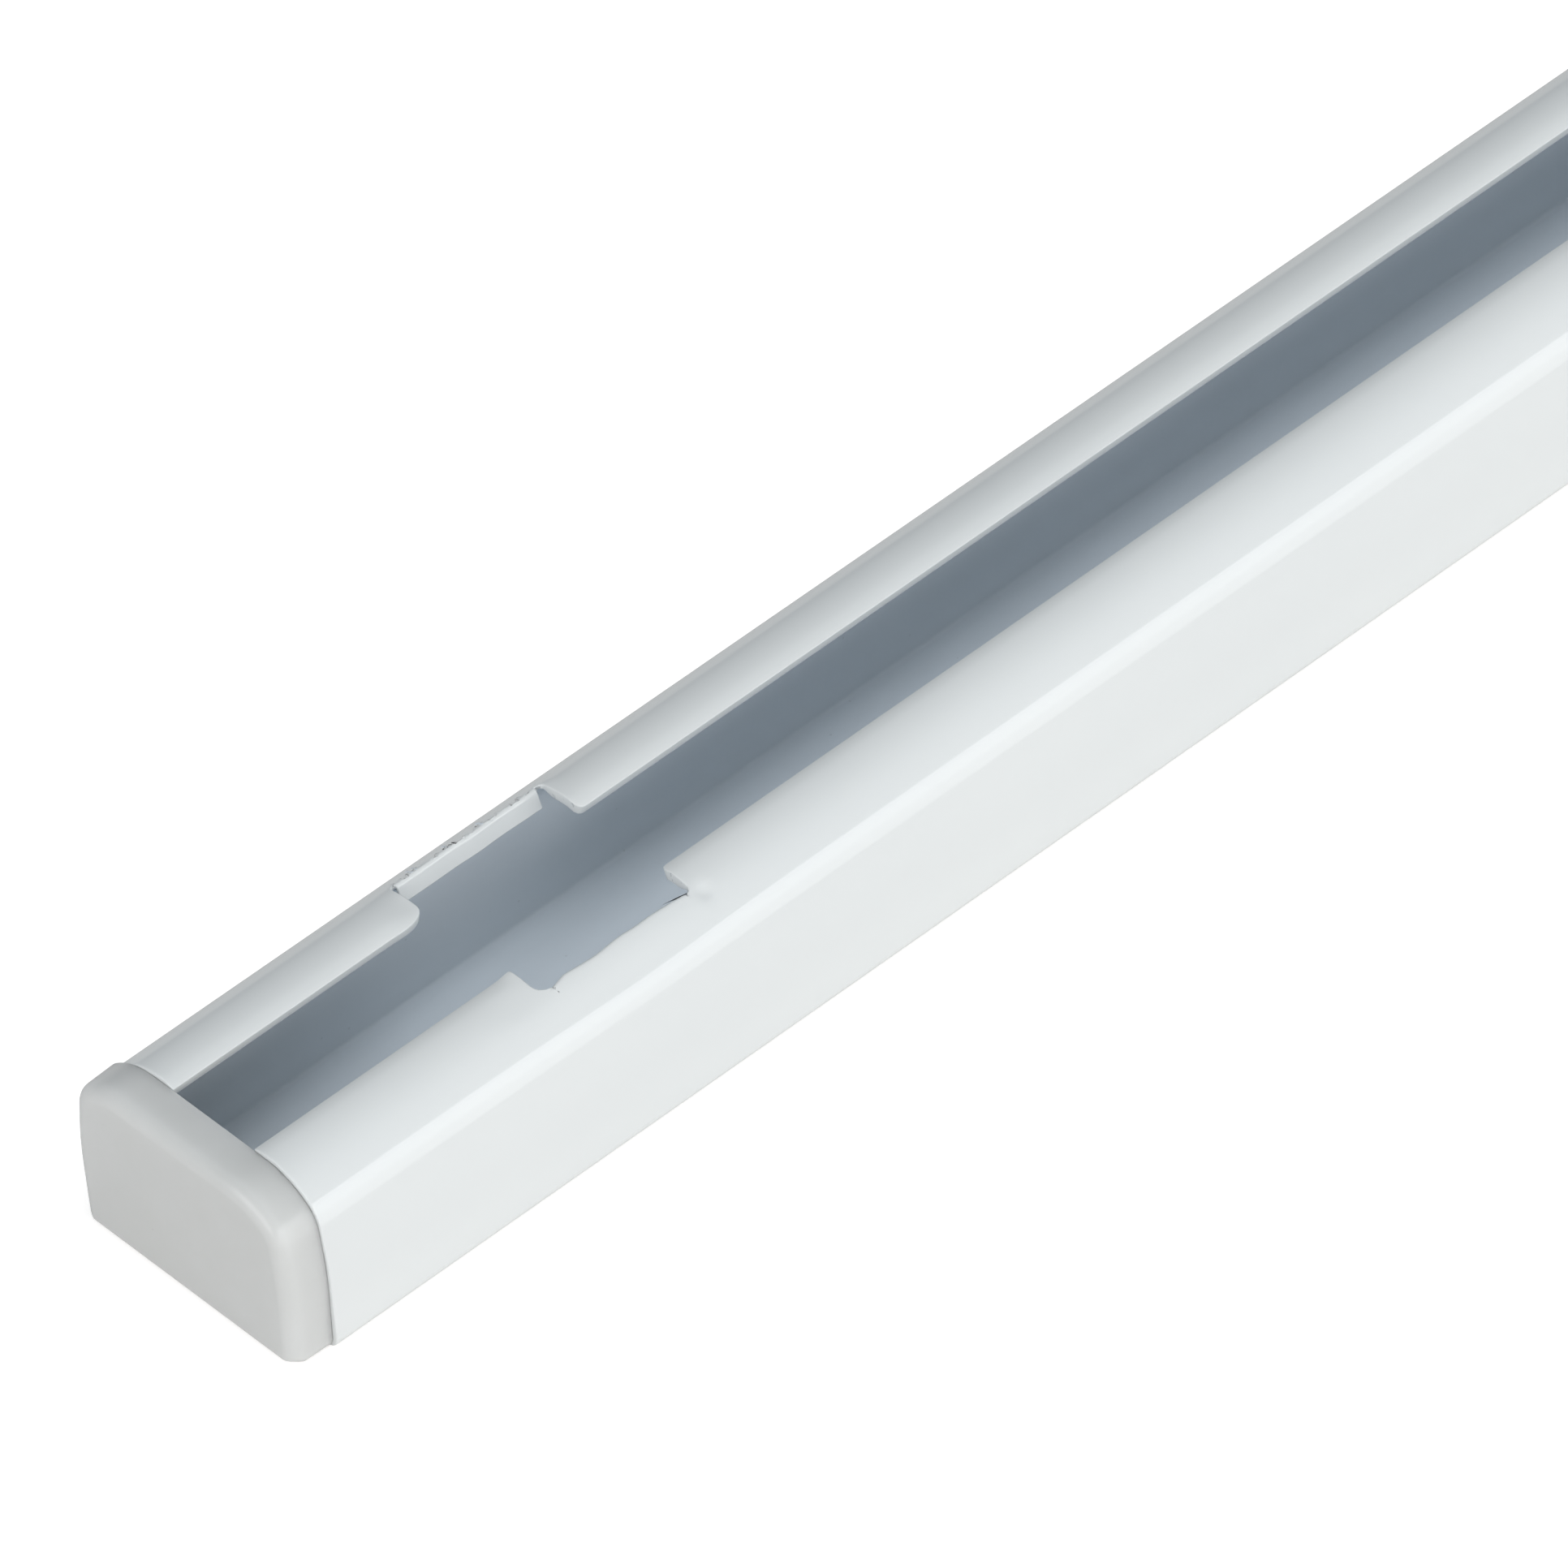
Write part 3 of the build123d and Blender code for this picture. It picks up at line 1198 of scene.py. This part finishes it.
class Effect:
    """A surface effect that several finishes share, kept as one node group."""

    def __init__(self, name: str, inputs: dict[str, float], output: str) -> None:
        """Starts the group.

        Args:
            name: The group's name.
            inputs: Its number inputs with their usual values. It also takes a Vector.
            output: The name of its one output, a number.
        """
        self.tree = bpy.data.node_groups.new(name, "ShaderNodeTree")
        self.tree.interface.new_socket("Vector", in_out="INPUT", socket_type="NodeSocketVector")
        for label, value in inputs.items():
            socket = self.tree.interface.new_socket(label, in_out="INPUT", socket_type="NodeSocketFloat")
            socket.default_value = value
        self.tree.interface.new_socket(output, in_out="OUTPUT", socket_type="NodeSocketFloat")
        self.wiring = Wiring(self.tree)
        self.given = self.tree.nodes.new("NodeGroupInput").outputs
        self.result = self.tree.nodes.new("NodeGroupOutput")

    def noise(self, detail: object, roughness: float) -> NodeSocket:
        """Noise at the group's own place and scale."""
        inputs = {"Vector": self.given["Vector"], "Scale": self.given["Scale"], "Detail": detail}
        return self.wiring.add("TexNoise", {**inputs, "Roughness": roughness}).outputs[0]

    def finish(self, value: NodeSocket) -> NodeTree:
        """Links the effect's output and gives the group."""
        self.tree.links.new(value, self.result.inputs[0])
        return self.tree


def fine_specks(name: str) -> NodeTree:
    """Builds the group for sparse specks of dust in a finish.

    Args:
        name: The group's name.

    Returns:
        The group: Radius is a share of the space between specks, Share how many of them show.
    """
    effect = Effect(name, {"Scale": 200.0, "Radius": 0.02, "Share": 0.3}, "Mask")
    wiring, given = effect.wiring, effect.given
    cells = wiring.add("TexVoronoi", {"Vector": given["Vector"], "Scale": given["Scale"]})
    edge = wiring.math("DIVIDE", cells.outputs["Distance"], given["Radius"])
    disc = wiring.ramp(edge, 0.6, 1.0, 1.0, 0.0)
    draw = wiring.add("SeparateColor", {0: cells.outputs["Color"]})
    chosen = wiring.math("LESS_THAN", draw.outputs[0], given["Share"])
    return effect.finish(wiring.math("MULTIPLY", disc, chosen))


def orange_peel(name: str) -> NodeTree:
    """The group for the slight waviness of a coated or moulded surface."""
    effect = Effect(name, {"Scale": 900.0, "Detail": 2.0}, "Height")
    return effect.finish(effect.noise(effect.given["Detail"], 0.45))


def handled(name: str) -> NodeTree:
    """Builds the group for patches where a surface has been handled and its gloss changes.

    Args:
        name: The group's name.

    Returns:
        The group, which goes from Low to High.
    """
    effect = Effect(name, {"Scale": 30.0, "Low": 0.2, "High": 0.3}, "Value")
    cloud = effect.noise(5.0, 0.6)
    return effect.finish(effect.wiring.ramp(cloud, 0.35, 0.65, effect.given["Low"], effect.given["High"]))


def ragged(name: str) -> NodeTree:
    """Builds the group that breaks a soft mask into a ragged one, as a coating breaks along an edge.

    Args:
        name: The group's name.

    Returns:
        The group, in which a higher Cover leaves more of the mask.
    """
    effect = Effect(name, {"Mask": 0.0, "Scale": 3000.0, "Cover": 0.5}, "Mask")
    wiring, given = effect.wiring, effect.given
    lifted = wiring.math("ADD", effect.noise(4.0, 0.65), given["Mask"])
    over = wiring.math("SUBTRACT", lifted, wiring.math("SUBTRACT", 1.55, given["Cover"]))
    sharp = wiring.ramp(over, 0.0, 0.12, 0.0, 1.0)
    return effect.finish(wiring.math("MULTIPLY", sharp, given["Mask"]))


class Patches(NamedTuple):
    """Patches of a handled surface: how many there are, and what they go between."""

    scale: float
    low: float = 0.0
    high: float = 1.0


class Specks(NamedTuple):
    """Specks of dust: how many places they have, their size, and the share that shows."""

    scale: float
    radius: float
    share: float


class Break(NamedTuple):
    """How a coating breaks along an edge: the grain's scale, and how much breaks."""

    scale: float
    cover: float


class Peel(NamedTuple):
    """Waviness of a surface: its scale and its detail."""

    scale: float
    detail: float = 2.0


class Finish:
    """The start of a material: its tree, its shader and the object's own coordinates."""

    def __init__(self, name: str) -> None:
        """Makes the material."""
        self.material = bpy.data.materials.new(name)
        self.material.use_nodes = True
        self.wiring = Wiring(self.material.node_tree)
        self.shader = self.material.node_tree.nodes["Principled BSDF"]
        self.place = self.wiring.add("TexCoord").outputs["Object"]

    def effect(
        self, build: Callable[[str], NodeTree], values: NamedTuple, **outputs: NodeSocket
    ) -> NodeSocket:
        """Places a shared effect.

        Args:
            build: Builds its group, the first time that it is asked for.
            values: Its values here, by the names of the group's inputs.
            outputs: Other nodes' outputs, for inputs that these values leave out.

        Returns:
            The effect's output.
        """
        group = bpy.data.node_groups.get(build.__name__) or build(build.__name__)
        node = self.wiring.add("Group", settings={"node_tree": group})
        given = {**values._asdict(), **outputs}
        self.wiring.join(node, {name.capitalize(): value for name, value in given.items()})
        self.wiring.join(node, {"Vector": self.place})
        return node.outputs[0]

    def stretched_noise(self, scale: Triple) -> NodeSocket:
        """Noise with its own scale along each axis."""
        mapping = self.wiring.add("Mapping", {"Vector": self.place, "Scale": scale})
        inputs = {"Vector": mapping.outputs[0], "Scale": 1.0, "Detail": 3.0}
        return self.wiring.add("TexNoise", inputs).outputs[0]

    def bump(self, height: NodeSocket, distance: float) -> None:
        """Raises the surface by a height, in metres for a height of 1."""
        node = self.wiring.add("Bump", {"Height": height, "Distance": distance, "Strength": 1.0})
        self.wiring.join(self.shader, {"Normal": node.outputs[0]})


@dataclass(frozen=True)
class CoatedSteel:
    """White gloss coating on steel sheet, cracked at the far crease and bare in thin lines at the cuts.

    Attributes:
        colour, shade: The coating's colour, and the one that it is clouded with.
        bare, bare_gloss, bare_metal: Colour, roughness and metal of the cut sheet.
        refraction: Index of refraction of the coating.
        crack, crack_depth: Colour of the broken coating, and its depth in rolling lines.
        speck: Colour of the dust.
        clouds, specks, cracks, cuts, gloss: How often and how strongly each effect comes.
        peel, peel_height: Scale and height of the coating's waviness.
        rolling, rolling_height: Scales and height of the lines that the rolls left.
        ends: How far from the middle the bare lines of the sawn ends fade out, under the caps.
    """

    colour: Triple = (0.80, 0.818, 0.81)
    shade: Triple = (0.785, 0.805, 0.80)
    bare: Triple = (0.50, 0.52, 0.53)
    bare_gloss: float = 0.5
    bare_metal: float = 0.6
    refraction: float = 1.6
    crack: Triple = (0.74, 0.76, 0.765)
    crack_depth: float = 8.0
    speck: Triple = (0.38, 0.37, 0.35)
    clouds: Patches = Patches(40.0)
    specks: Specks = Specks(130.0, 0.011, 0.35)
    cracks: Break = Break(2600.0, 0.5)
    cuts: Break = Break(1400.0, -0.04)
    gloss: Patches = Patches(90.0, 0.06, 0.10)
    peel: Peel = Peel(1100.0)
    peel_height: float = 0.0004 * MM
    rolling: Triple = (4, 1500, 1500)
    rolling_height: float = 0.0005 * MM
    ends: tuple[float, float] = (499.94 * MM, 499.97 * MM)

    def material(self) -> Material:
        """Builds the material.

        Returns:
            The material.
        """
        finish = Finish("white_coated_steel")
        wiring = finish.wiring
        colour = wiring.mix(finish.effect(handled, self.clouds), self.colour, self.shade)
        colour = wiring.mix(finish.effect(fine_specks, self.specks), colour, self.speck)
        cracks = finish.effect(ragged, self.cracks, mask=wiring.attribute("crease"))
        colour = wiring.mix(cracks, colour, self.crack)
        along = wiring.add("SeparateXYZ", {0: finish.place}).outputs["X"]
        inside = wiring.ramp(wiring.math("ABSOLUTE", along), *self.ends, 1.0, 0.0)
        cut = wiring.math("MULTIPLY", wiring.attribute("cut_edge"), inside)
        bared = finish.effect(ragged, self.cuts, mask=cut)
        colour = wiring.mix(bared, colour, self.bare)
        rough = wiring.ramp(bared, 0.0, 1.0, finish.effect(handled, self.gloss), self.bare_gloss)
        wiring.join(finish.shader, {"Base Color": colour, "Roughness": rough})
        wiring.join(finish.shader, {"Metallic": wiring.math("MULTIPLY", bared, self.bare_metal)})
        finish.shader.inputs["IOR"].default_value = self.refraction
        peel_share = self.peel_height / self.rolling_height
        height = wiring.math("MULTIPLY", finish.effect(orange_peel, self.peel), peel_share)
        height = wiring.math("ADD", height, finish.stretched_noise(self.rolling))
        height = wiring.math("SUBTRACT", height, wiring.math("MULTIPLY", cracks, self.crack_depth))
        finish.bump(height, self.rolling_height)
        return finish.material


@dataclass(frozen=True)
class InsideFinishWithBlueShade:
    """The blue-grey finish on the inside of the sheet: its blue cast is painted shade, the bluish tint of the
    shaded channel.

    Attributes:
        colour, shade: The inside's colour, tinted bluer than the outside's as painted shade, and the one that
            it is streaked with.
        bare: Colour of the cut sheet and of the dust.
        clouds, specks, cuts, gloss: How often and how strongly each effect comes.
        speck_share: How much of the coat's colour the dust hides.
        streaks, streak_range: Scales of the streaks along the track, and the noise that they show.
        peel: Scale of the coat's waviness.
        rolling, height: Scales of the lines that the rolls left, and their height.
    """

    colour: Triple = (0.76, 0.81, 0.855)
    shade: Triple = (0.71, 0.765, 0.81)
    bare: Triple = (0.40, 0.42, 0.43)
    clouds: Patches = Patches(60.0)
    specks: Specks = Specks(700.0, 0.06, 0.4)
    speck_share: float = 0.25
    streaks: Triple = (9, 420, 420)
    streak_range: tuple[float, float] = (0.35, 0.7)
    cuts: Break = Break(1400.0, 0.1)
    gloss: Patches = Patches(120.0, 0.28, 0.42)
    peel: Peel = Peel(1500.0, 4.0)
    rolling: Triple = (4, 1500, 1500)
    height: float = 0.0014 * MM

    def material(self) -> Material:
        """Builds the material.

        Returns:
            The material.
        """
        finish = Finish("inside_finish_blue_shade")
        wiring = finish.wiring
        streaks = wiring.ramp(finish.stretched_noise(self.streaks), *self.streak_range, 0.0, 1.0)
        clouds = finish.effect(handled, self.clouds)
        shade = wiring.math("MULTIPLY", wiring.math("ADD", clouds, streaks), 0.5)
        # Both colours carry a blue tint that is painted shade, the bluish cast of the shaded channel.
        colour = wiring.mix(shade, self.colour, self.shade)
        specks = wiring.math("MULTIPLY", finish.effect(fine_specks, self.specks), self.speck_share)
        colour = wiring.mix(specks, colour, self.bare)
        bared = finish.effect(ragged, self.cuts, mask=wiring.attribute("cut_edge"))
        colour = wiring.mix(bared, colour, self.bare)
        wiring.join(finish.shader, {"Base Color": colour, "Roughness": finish.effect(handled, self.gloss)})
        peel = finish.effect(orange_peel, self.peel)
        finish.bump(wiring.math("ADD", peel, finish.stretched_noise(self.rolling)), self.height)
        return finish.material


@dataclass(frozen=True)
class MilkyPlastic:
    """Milky, translucent moulded plastic with a satin skin.

    Attributes:
        colour, cloud: The plastic's colour, and the one that it is clouded with.
        speck, speck_share: Colour of the dust, and how much of the plastic's colour it hides.
        clouds, specks, gloss: How often and how strongly each effect comes.
        peel, height: Scale and height of the skin's waviness.
        milkiness, depth: How milky the plastic is, and how deep light goes into it.
    """

    colour: Triple = (0.67, 0.675, 0.665)
    cloud: Triple = (0.645, 0.65, 0.635)
    speck: Triple = (0.5, 0.49, 0.47)
    speck_share: float = 0.5
    clouds: Patches = Patches(110.0)
    specks: Specks = Specks(330.0, 0.02, 0.2)
    gloss: Patches = Patches(260.0, 0.18, 0.26)
    peel: Peel = Peel(2200.0, 3.0)
    height: float = 0.0012 * MM
    milkiness: float = 0.85
    depth: float = 1.6 * MM

    def material(self) -> Material:
        """Builds the material.

        Returns:
            The material.
        """
        finish = Finish("milky_plastic")
        wiring = finish.wiring
        colour = wiring.mix(finish.effect(handled, self.clouds), self.colour, self.cloud)
        specks = wiring.math("MULTIPLY", finish.effect(fine_specks, self.specks), self.speck_share)
        colour = wiring.mix(specks, colour, self.speck)
        wiring.join(finish.shader, {"Base Color": colour, "Roughness": finish.effect(handled, self.gloss)})
        finish.shader.inputs["Subsurface Weight"].default_value = self.milkiness
        finish.shader.inputs["Subsurface Radius"].default_value = (1.0, 1.0, 1.0)
        finish.shader.inputs["Subsurface Scale"].default_value = self.depth
        finish.bump(finish.effect(orange_peel, self.peel), self.height)
        return finish.material


def direction_to(azimuth: float, elevation: float) -> Vector:
    """The direction of a place in the studio, from its azimuth (0 is the -Y side) and height in degrees."""
    turn, height = math.radians(azimuth), math.radians(elevation)
    return Vector((math.sin(turn) * math.cos(height), -math.cos(turn) * math.cos(height), math.sin(height)))


@dataclass(frozen=True)
class PhotoCamera:
    """The camera that took the photograph.

    Attributes:
        azimuth: Where it stands, in degrees: 0 is on the -Y side.
        elevation: Degrees above the floor.
        roll: Degrees that the picture leans.
        distance: From the aim to the lens.
        aim: The floor's point in the middle of the picture, from the rail's notched end.
        focal_pixels: Focal length, in pixels of the photograph.
        sensor: Width of the sensor, in millimetres.
        clip: The nearest and the farthest that it sees.
    """

    azimuth: float = -38.945
    elevation: float = 44.202
    roll: float = -5.304
    distance: float = 1.2156
    aim: tuple[float, float] = (42.642 * MM, 5.573 * MM)
    focal_pixels: float = 29516
    sensor: float = 36
    clip: tuple[float, float] = (0.05, 50)

    def place(self, rail_end: float) -> None:
        """Makes it the scene's camera.

        Args:
            rail_end: Where the rail's notched end is along the track.
        """
        data = bpy.data.cameras.new("photo_camera")
        data.sensor_width = self.sensor
        data.lens = self.focal_pixels / PHOTO_PIXELS * self.sensor
        data.clip_start, data.clip_end = self.clip
        camera = bpy.data.objects.new("photo_camera", data)
        bpy.context.scene.collection.objects.link(camera)
        back = direction_to(self.azimuth, self.elevation)
        facing = (-back).to_track_quat("-Z", "Y").to_matrix().to_4x4()
        target = Vector((rail_end + self.aim[0], self.aim[1], 0))
        roll = Matrix.Rotation(math.radians(self.roll), 4, "Z")
        camera.matrix_world = Matrix.Translation(target + back * self.distance) @ facing @ roll
        bpy.context.scene.camera = camera


@dataclass(frozen=True)
class SoftPanel:
    """A large soft lamp that stands round the track.

    Attributes:
        name: The lamp's name.
        azimuth: Where it stands, in the camera's degrees.
        elevation: Height of its middle above the floor, in degrees.
        size: Width and height.
        radiance: How bright it looks.
        colour: Its tint.
        mirrored: Whether gloss shows its outline.
        distance: From the picture's middle.
    """

    name: str
    azimuth: float
    elevation: float
    size: tuple[float, float]
    radiance: float
    colour: Triple = (1.0, 1.0, 1.0)
    mirrored: bool = True
    distance: float = 2.2

    def place(self, target: Vector) -> None:
        """Puts the lamp up.

        Args:
            target: The point that it faces.
        """
        data = bpy.data.lights.new(self.name, "AREA")
        data.shape = "RECTANGLE"
        data.size, data.size_y = self.size
        data.energy = self.radiance * math.pi * self.size[0] * self.size[1]
        data.color = self.colour
        lamp = bpy.data.objects.new(self.name, data)
        bpy.context.scene.collection.objects.link(lamp)
        back = direction_to(self.azimuth, self.elevation)
        lamp.location = target + back * self.distance
        lamp.rotation_euler = (-back).to_track_quat("-Z", "Y").to_euler()
        lamp.visible_camera = False
        lamp.visible_glossy = self.mirrored


@dataclass(frozen=True)
class Studio:
    """Floor, world, lamps and camera.

    Attributes:
        rail_end: Where the rail's notched end is along the track.
        camera: The camera.
        lamps: The lamps.
        lit_middle: The point that the lamps face, from the rail's notched end.
        floor_size: Half the floor's width.
        floor_gap: How far it lies under the track.
        floor_colour, floor_roughness: Its finish.
        glow: How much it shines to the camera, to turn white.
        shine, shine_ramp: How much gloss sees it shine, and the places in Y between which that ends.
        air, air_strength: Colour and strength of the light from all round.
    """

    rail_end: float
    camera: PhotoCamera = PhotoCamera()
    lamps: tuple[SoftPanel, ...] = (
        SoftPanel("front_panel", 5, 17, (4.6, 1.36), 1.8),
        SoftPanel("upper_panel", 5, 74, (4.0, 0.95), 2.1, (0.95, 0.98, 1.0), mirrored=False),
        SoftPanel("left_panel", -95, 20, (2.2, 1.2), 1.95),
    )
    lit_middle: float = 40 * MM
    floor_size: float = 20
    floor_gap: float = 0.02 * MM
    floor_colour: Triple = (0.88, 0.855, 0.835)
    floor_roughness: float = 0.9
    glow: float = 0.55
    shine: float = 0.8
    shine_ramp: tuple[float, float] = (-23 * MM, -19 * MM)
    air: Triple = (0.88, 0.94, 1.0)
    air_strength: float = 0.24

    def floor(self) -> None:
        """Lays a pale floor that turns white for the camera and keeps the shadow."""
        bm = bmesh.new()
        bmesh.ops.create_grid(bm, x_segments=1, y_segments=1, size=self.floor_size)
        bmesh.ops.translate(bm, verts=list(bm.verts), vec=(0, 0, -self.floor_gap))
        floor = as_object(bm, "floor")
        finish = Finish("pale_floor")
        wiring = finish.wiring
        path = wiring.add("LightPath").outputs
        across = wiring.add("SeparateXYZ", {0: finish.place}).outputs["Y"]
        beyond = wiring.ramp(across, *self.shine_ramp, self.shine, 0.0)
        glow = wiring.math("MULTIPLY", path["Is Camera Ray"], self.glow)
        shine = wiring.math("MULTIPLY", path["Is Glossy Ray"], beyond)
        wiring.join(finish.shader, {"Emission Strength": wiring.math("ADD", glow, shine)})
        finish.shader.inputs["Emission Color"].default_value = (1, 1, 1, 1)
        finish.shader.inputs["Base Color"].default_value = (*self.floor_colour, 1)
        finish.shader.inputs["Roughness"].default_value = self.floor_roughness
        floor.data.materials.append(finish.material)

    def world(self) -> None:
        """Fills the air with even, slightly cool light, and shows white to the camera."""
        world = bpy.data.worlds.new("studio")
        bpy.context.scene.world = world
        world.use_nodes = True
        wiring, nodes = Wiring(world.node_tree), world.node_tree.nodes
        light = nodes["Background"]
        wiring.join(light, {"Color": (*self.air, 1), "Strength": self.air_strength})
        white = wiring.add("Background", {"Color": (1, 1, 1, 1), "Strength": 1.0})
        path = wiring.add("LightPath").outputs
        layers = {0: path["Is Camera Ray"], 1: light.outputs[0], 2: white.outputs[0]}
        shown = wiring.add("MixShader", layers)
        wiring.join(nodes["World Output"], {"Surface": shown.outputs[0]})

    def build(self) -> None:
        """Puts everything in place."""
        self.floor()
        self.world()
        for lamp in self.lamps:
            lamp.place(Vector((self.rail_end + self.lit_middle, 0, 0)))
        self.camera.place(self.rail_end)
        bpy.context.scene.view_settings.view_transform = "Standard"


def main() -> None:
    """Builds the track and the studio."""
    logging.basicConfig(level=logging.INFO, format="%(message)s")
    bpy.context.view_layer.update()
    rail = Rail("rail")
    near_cap = EndCap(rail, End.START, "end_cap_near", "near_cap", Moulding(shift=0.28 * MM))
    far_cap = EndCap(rail, End.FINISH, "end_cap_far", "far_cap")
    pieces = [rail.build()]
    plastic = MilkyPlastic().material()
    pieces += [cap.build(plastic) for cap in (near_cap, far_cap)]
    for piece in pieces:
        LOG.info("%s: %d vertices before its modifiers", piece.name, len(piece.data.vertices))
    Studio(rail.low.x).build()


if __name__ == "__main__":
    main()
